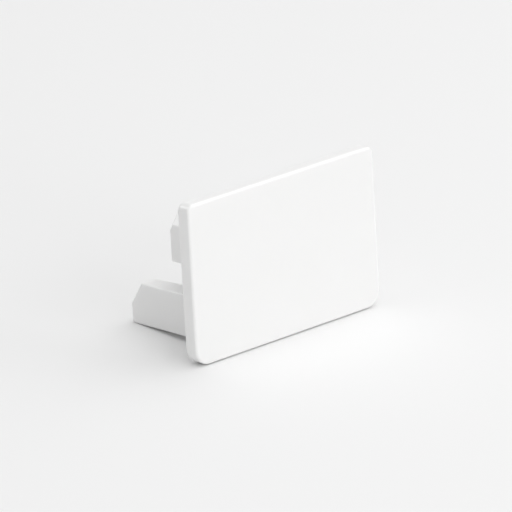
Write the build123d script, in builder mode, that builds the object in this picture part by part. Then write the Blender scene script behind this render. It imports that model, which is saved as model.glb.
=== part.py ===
from build123d import *

import os

# Profile end cap: a moulded cover plate with four push-in lugs on its back.
#
# Frame, in millimetres: the origin is the centre of the seating face, which is
# the back of the plate and lies against the cut end of the profile. +X runs
# across the width, +Y points into the profile, where the lugs go, +Z is up.

# Cover plate
plate_width = 40.0
plate_height = 26.2
plate_thickness = 2.6
top_corner_radius = 1.2
bottom_corner_radius = 2.8
front_edge_radius = 0.4
back_edge_radius = 0.5

# Shared by all four lugs. The draft narrows a lug towards its tip, so that the
# piece leaves its mould and enters the profile without catching. Undersides
# stay square to the plate.
draft_angle = 0.5
side_inset = 6.45
lug_edge_radius = 0.25
root_radius = 0.2

# Long lugs, the lower pair: thin bars with a lead-in slope on top of the tip
long_base = 1.57
long_width = 3.7
long_height = 7.05
long_length = 19.2
long_slope_length = 2.55
long_slope_drop = 3.7

# Short lugs, the upper pair: wide bars with the outer corner of the tip cut
# off at a slant, and the top edge of the slanted face bevelled
short_base = 13.5
short_width = 7.5
short_height = 6.3
short_length = 13.0
short_cut_width = 4.8
short_cut_length = 4.0
short_bevel_length = 0.55
short_bevel_drop = 1.05

# Anything nearer the seating face than this counts as lying in it
seat_margin = 0.1


def raise_lugs(width, height, base, length):
    """Raise a mirrored pair of straight bars and draft all but their undersides."""
    across = plate_width / 2 - side_inset - width / 2
    up = base + height / 2 - plate_height / 2
    with BuildSketch(Plane.back) as roots:
        with Locations((-across, up), (across, up)):
            Rectangle(width, height)
    extrude(roots.sketch, amount=length)
    sides = faces(Select.LAST).filter_by(Axis.Y, reverse=True)
    underside = sides.group_by(Axis.Z)[0]
    draft(sides - underside, Plane.back, draft_angle)


def tip_face(side):
    """The flat end of the furthest-reaching lug on one side, -1 or +1."""
    ends = faces().filter_by(Axis.Y).group_by(Axis.Y)[-1]
    return ends.sort_by(Axis.X)[0 if side < 0 else -1]


def slant_face(side):
    """The slanted face left where a tip's outer corner is cut off."""
    flats = faces().filter_by(GeomType.PLANE).filter_by(lambda face: side * face.center().X > 0)
    return flats.sort_by(lambda face: abs(face.normal_at().X * face.normal_at().Y))[-1]


with BuildPart() as end_cap:
    # The plate: a rectangle, rounder at its lower corners, with softened edges
    with BuildSketch(Plane.front):
        Rectangle(plate_width, plate_height)
        fillet(vertices().group_by(Axis.Y)[-1], radius=top_corner_radius)
        fillet(vertices().group_by(Axis.Y)[0], radius=bottom_corner_radius)
    extrude(amount=plate_thickness)
    fillet(faces().sort_by(Axis.Y)[0].edges(), radius=front_edge_radius)
    fillet(faces().sort_by(Axis.Y)[-1].edges(), radius=back_edge_radius)

    # The short lugs, upper pair
    raise_lugs(short_width, short_height, short_base, short_length)
    for side in (-1, 1):
        tip = tip_face(side)
        outer_edge = tip.edges().sort_by(lambda edge: abs(edge.center().X))[-1]
        chamfer(outer_edge, length=short_cut_width, length2=short_cut_length, reference=tip)
        slant = slant_face(side)
        top_edge = slant.edges().sort_by(Axis.Z)[-1]
        chamfer(top_edge, length=short_bevel_drop, length2=short_bevel_length, reference=slant)

    # The long lugs, lower pair
    raise_lugs(long_width, long_height, long_base, long_length)
    for side in (-1, 1):
        tip = tip_face(side)
        top_edge = tip.edges().sort_by(Axis.Z)[-1]
        chamfer(top_edge, length=long_slope_drop, length2=long_slope_length, reference=tip)

    # Break every edge of the lugs, then blend their roots into the seat
    lug_edges = edges().filter_by(lambda edge: edge.center().Y > seat_margin)
    fillet(lug_edges, radius=lug_edge_radius)
    seat = faces().filter_by(Axis.Y).filter_by_position(Axis.Y, -seat_margin, seat_margin)[0]
    root_edges = [edge for wire in seat.inner_wires() for edge in wire.edges()]
    fillet(root_edges, radius=root_radius)

end_cap.part.label = "end_cap"
os.makedirs("parts", exist_ok=True)
export_step(end_cap.part, "parts/end_cap.step")
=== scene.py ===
# %% [markdown]
# # Profile end cap
# A profile end cap closes the open end of an extruded bar. It is one small
# moulding: a cover plate with rounded edges, and four lugs on its back that
# push into the bar. The solid is modelled in CAD, so this lesson is about the
# rest: how the cap stands, what it stands on, its plastic, and its light.

# %% Load the cap
import bpy
import bmesh
from math import atan2, cos, degrees, radians, sin
from mathutils import Matrix, Vector


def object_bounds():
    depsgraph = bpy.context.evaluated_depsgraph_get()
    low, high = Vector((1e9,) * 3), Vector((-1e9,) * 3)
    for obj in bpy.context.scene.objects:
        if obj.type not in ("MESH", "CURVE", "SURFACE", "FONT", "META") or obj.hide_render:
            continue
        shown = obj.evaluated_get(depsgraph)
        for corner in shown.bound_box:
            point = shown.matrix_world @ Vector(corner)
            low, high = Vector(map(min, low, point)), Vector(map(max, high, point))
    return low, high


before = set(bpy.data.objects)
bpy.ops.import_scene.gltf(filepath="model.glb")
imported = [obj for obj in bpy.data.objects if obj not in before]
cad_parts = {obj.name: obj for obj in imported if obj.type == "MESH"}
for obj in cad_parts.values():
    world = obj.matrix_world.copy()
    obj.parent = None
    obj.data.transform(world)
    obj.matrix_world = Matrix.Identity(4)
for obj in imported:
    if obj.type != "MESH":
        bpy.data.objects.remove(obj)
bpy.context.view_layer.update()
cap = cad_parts["end_cap"]
low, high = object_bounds()
print("cap", [round(1000 * side, 2) for side in high - low], "mm")

# %% [markdown]
# ## How the cap stands
# The cap's own frame has the plate upright, as it sits on a bar. Put down on a
# table it leans back a little, until the tips of the long lugs touch. The cap
# isn't turned here, because its place in the frame is fixed. The table is
# tilted to meet it instead, and everything round the cap is tilted with it.
# The angle is measured on the mesh: it is the slope of the line that touches
# both the plate's lower back edge and the undersides of the lugs. Which points
# touch depends on the slope, so a first guess is improved a few times.

# %% Find the lean
outline = [vertex.co for vertex in cap.data.vertices]
middle = high.y / 2
plate_points = [point for point in outline if point.y < middle]
lug_points = [point for point in outline if point.y > middle]


def lowest(points, lean):
    """The point that is nearest the table when the table slopes by lean."""
    return min(points, key=lambda point: point.z * cos(lean) - point.y * sin(lean))


lean = 0.0
for attempt in range(4):
    heel = lowest(plate_points, lean)
    toe = lowest(lug_points, lean)
    lean = atan2(toe.z - heel.z, toe.y - heel.y)
print("the cap leans back", round(degrees(lean), 2), "degrees")

tilt = Matrix.Rotation(lean, 4, "X")
table_point = Vector((0.0, heel.y, heel.z))


def on_table(right, back, up):
    """A place given from the foot of the plate, along and above the table."""
    return table_point + tilt @ Vector((right, back, up))


# %% [markdown]
# ## The table
# Small parts are shot on one large pale sheet, with no edge or horizon in
# view. The sheet could curve up at the back, but from this high up a flat plane
# already fills the view. It catches the cap's shadow, and the light that it
# throws back up brightens the undersides of the lugs.

# %% Lay the table
table_width = 1.6


def make_table():
    mesh = bpy.data.meshes.new("table")
    built = bmesh.new()
    bmesh.ops.create_grid(built, x_segments=1, y_segments=1, size=table_width / 2)
    bmesh.ops.transform(built, matrix=Matrix.Translation(table_point) @ tilt, verts=built.verts)
    built.to_mesh(mesh)
    built.free()
    table = bpy.data.objects.new("table", mesh)
    bpy.context.scene.collection.objects.link(table)
    return table


table = make_table()
print("table", table_width, "m wide")

# %% [markdown]
# ## Unevenness
# No real surface is perfectly even: card has fibres, and moulded plastic has
# the fine texture of its mould. An image could hold such marks, but noise that
# is worked out at each point needs no file and has no seams. It is fixed to the
# object, so it stays in place when the object moves. One noise can drive two
# things: how rough the surface is, and a small bump. Noise hardly ever goes
# below noise_low or above noise_high, so the roughness runs from one limit to
# the other between them.

# %% Noise for the surfaces
noise_low = 0.1
noise_high = 0.9


def add_noise(tree, grain_size, detail):
    """Noise fixed to the object, with grains of the given size in metres."""
    place = tree.nodes.new("ShaderNodeTexCoord")
    noise = tree.nodes.new("ShaderNodeTexNoise")
    noise.inputs["Scale"].default_value = 1 / grain_size
    noise.inputs["Detail"].default_value = detail
    tree.links.new(place.outputs["Object"], noise.inputs["Vector"])
    return noise.outputs["Fac"]


def vary_roughness(tree, shader, noise, smoothest, roughest):
    """Let the noise move the roughness between two limits."""
    spread = tree.nodes.new("ShaderNodeMapRange")
    spread.inputs["From Min"].default_value = noise_low
    spread.inputs["From Max"].default_value = noise_high
    spread.inputs["To Min"].default_value = smoothest
    spread.inputs["To Max"].default_value = roughest
    tree.links.new(noise, spread.inputs["Value"])
    tree.links.new(spread.outputs["Result"], shader.inputs["Roughness"])


def add_bump(tree, shader, noise, height, strength):
    """Raise the surface by the noise, which is at most height tall."""
    bump = tree.nodes.new("ShaderNodeBump")
    bump.inputs["Distance"].default_value = height
    bump.inputs["Strength"].default_value = strength
    tree.links.new(noise, bump.inputs["Height"])
    tree.links.new(bump.outputs["Normal"], shader.inputs["Normal"])


print("noise runs from", noise_low, "to", noise_high)

# %% [markdown]
# ## The sheet
# The sheet is matt card, so it has no shine at all: the specular level is
# zero. The noise stands for its short fibres, with a very low bump and a small
# change of roughness. The colour is a plain near-white. A grey card could be
# lit until it looked as pale, but the cap would then have too much light.

# %% Card for the table
card_white = (0.89, 0.89, 0.89, 1.0)
fibre_size = 0.0006
fibre_height = 0.00002


def make_card():
    card = bpy.data.materials.new("white_card")
    card.use_nodes = True
    tree = card.node_tree
    shader = tree.nodes["Principled BSDF"]
    shader.inputs["Base Color"].default_value = card_white
    shader.inputs["Specular IOR Level"].default_value = 0.0
    fibres = add_noise(tree, fibre_size, detail=3)
    vary_roughness(tree, shader, fibres, smoothest=0.85, roughest=0.95)
    add_bump(tree, shader, fibres, fibre_height, strength=0.3)
    return card


table.data.materials.append(make_card())
print("card fibres", 1000 * fibre_size, "mm")

# %% [markdown]
# ## The plastic
# The cap is moulded in one shot of white ABS, so a single material covers it
# all. A cap like this has a fine satin face, because the steel of the mould is
# sparked or blasted and the plastic copies it. The satin is a small bump of
# about a fifth of a millimetre across. A second, much wider noise changes the
# roughness a little, as the plastic cools faster in some places than in others.
# White plastic is full of tiny grains of pigment. Light goes in a short way
# and comes out again, which softens the edges and lifts the narrow rims. A
# plain diffuse colour would leave them hard, so the light scatters under the
# surface here too, for less than half a millimetre.

# %% White plastic
plastic_white = (0.9, 0.9, 0.895, 1.0)
refraction = 1.52
scatter_depth = 0.0004
satin_size = 0.0002
satin_height = 0.000004
cooling_size = 0.006


def make_plastic():
    plastic = bpy.data.materials.new("white_plastic")
    plastic.use_nodes = True
    tree = plastic.node_tree
    shader = tree.nodes["Principled BSDF"]
    shader.inputs["Base Color"].default_value = plastic_white
    shader.inputs["IOR"].default_value = refraction
    shader.inputs["Subsurface Weight"].default_value = 1.0
    shader.inputs["Subsurface Radius"].default_value = (1.0, 1.0, 1.0)
    shader.inputs["Subsurface Scale"].default_value = scatter_depth
    cooling = add_noise(tree, cooling_size, detail=2)
    vary_roughness(tree, shader, cooling, smoothest=0.27, roughest=0.35)
    satin = add_noise(tree, satin_size, detail=2)
    add_bump(tree, shader, satin, satin_height, strength=0.5)
    return plastic


cap.material_slots[0].material = make_plastic()
print("satin", 1000 * satin_size, "mm, light goes in", 1000 * scatter_depth, "mm")

# %% [markdown]
# ## The camera
# The cap is seen from its front left and from a little above, so the plate,
# its left side and the lugs behind it are all in view. The lens is long and
# stands more than a metre away, which keeps upright edges almost parallel. The
# camera is placed from the table, so its angles are those a person at the
# table would measure. It aims beside the plate's middle to leave room at left
# for the shadow of the lugs. The aims are shares of the cap's width.

# %% Place the camera
camera_yaw = radians(43.92)
camera_height = radians(20.64)
camera_distance = 1.102
camera_lens = 497.4
aim_height = 0.35
aim_side = -0.1347
aim_rise = -0.0098


def make_camera():
    camera = bpy.data.objects.new("camera", bpy.data.cameras.new("camera"))
    bpy.context.scene.collection.objects.link(camera)
    width = high.x - low.x
    level = cos(camera_height)
    back = Vector((-sin(camera_yaw) * level, -cos(camera_yaw) * level, sin(camera_height)))
    right = Vector((cos(camera_yaw), -sin(camera_yaw), 0.0))
    up = back.cross(right)
    aim = Vector((0.0, low.y, aim_height * width)) + right * aim_side * width + up * aim_rise * width
    axes = Matrix((right, up, back)).transposed()
    place = Matrix.Translation(aim + back * camera_distance) @ axes.to_4x4()
    camera.matrix_world = Matrix.Translation(Vector((0.0, 0.0, low.z))) @ tilt @ place
    camera.data.lens = camera_lens
    camera.data.clip_end = 10
    bpy.context.scene.camera = camera
    return camera


camera = make_camera()
print("camera", [round(part, 3) for part in camera.matrix_world.translation])

# %% [markdown]
# ## The room
# White parts on white need soft light from all round, with only a little more
# from one side to show their form. The room is an even, plain white. It gives
# nearly half of the light, and it fills the shadows under the lugs. The walls
# behind a softbox are brighter than the rest of a room, and satin plastic
# mirrors them at a low angle. So only what is seen in a reflection is brighter,
# which draws the thin pale rims along the lugs and the plate.

# %% Fill the room
room_strength = 0.455
mirrored_strength = 0.8


def make_room():
    room = bpy.data.worlds.new("room")
    room.use_nodes = True
    tree = room.node_tree
    air = tree.nodes["Background"]
    wall = tree.nodes.new("ShaderNodeBackground")
    for side, strength in ((air, room_strength), (wall, mirrored_strength)):
        side.inputs["Color"].default_value = (1.0, 1.0, 1.0, 1.0)
        side.inputs["Strength"].default_value = strength
    path = tree.nodes.new("ShaderNodeLightPath")
    choice = tree.nodes.new("ShaderNodeMixShader")
    tree.links.new(path.outputs["Is Glossy Ray"], choice.inputs[0])
    tree.links.new(air.outputs["Background"], choice.inputs[1])
    tree.links.new(wall.outputs["Background"], choice.inputs[2])
    tree.links.new(choice.outputs["Shader"], tree.nodes["World Output"].inputs["Surface"])
    bpy.context.scene.world = room


make_room()
print("room", room_strength, "and in reflections", mirrored_strength)

# %% [markdown]
# ## The lamps
# Each lamp is a square softbox that points at the foot of the plate. Its place
# is given by a turn from straight ahead, a rise above the table and a distance.
# The overhead lamp is the widest and the strongest: it lights the card and the
# top edge of the plate, and it is a little to the front, so the card darkens
# gently toward the back. The two lamps in front light the face of the plate.
# They stand nearest, which makes the card brighter in front of the cap than
# behind it. Two wide lamps on the right push the shadow out to the left, and
# leave the left sides of the plate and of the lugs a soft grey.

# %% Set the lamps


def make_lamp(name, turn, rise, distance, size, watts):
    lamp = bpy.data.objects.new(name, bpy.data.lights.new(name, "AREA"))
    bpy.context.scene.collection.objects.link(lamp)
    lamp.data.size = size
    lamp.data.energy = watts
    reach = distance * cos(radians(rise))
    up = distance * sin(radians(rise))
    lamp.location = on_table(reach * sin(radians(turn)), -reach * cos(radians(turn)), up)
    lamp.rotation_euler = (lamp.location - table_point).to_track_quat("Z", "Y").to_euler()
    print("lamp", name, watts, "W")
    return lamp


make_lamp("front", -10, 20, distance=0.9, size=0.5, watts=1.6)
make_lamp("right_front", 40, 20, distance=0.9, size=0.5, watts=1.05)
make_lamp("right", 80, 35, distance=1.2, size=0.9, watts=2.1)
make_lamp("right_high", 110, 55, distance=1.2, size=0.9, watts=1.8)
make_lamp("overhead", -20, 84, distance=1.1, size=1.0, watts=4.35)

# %% [markdown]
# ## A lamp for the edges
# A moulded edge is never quite sharp. Its small rounding mirrors one narrow
# piece of the room, which shows as a thin bright line. This lamp stands behind
# the cap at left, where the upper edges of the lugs mirror it. It is seen only
# in reflections, so it draws the lines and doesn't light the faces.

# %% Draw the edges
edge_lamp = make_lamp("edges", 212, 38, distance=1.2, size=0.4, watts=3.0)
edge_lamp.visible_diffuse = False

# %% [markdown]
# ## The colours
# A film look would turn white plastic grey. The colours are shown as they are,
# so it stays a true near-white.

# %% Show the colours plainly
bpy.context.scene.view_settings.view_transform = "Standard"
print("colours", bpy.context.scene.view_settings.view_transform)

# %% [markdown]
# ## The end
# At the end the scene is brought up to date.

# %% Finish
bpy.context.view_layer.update()
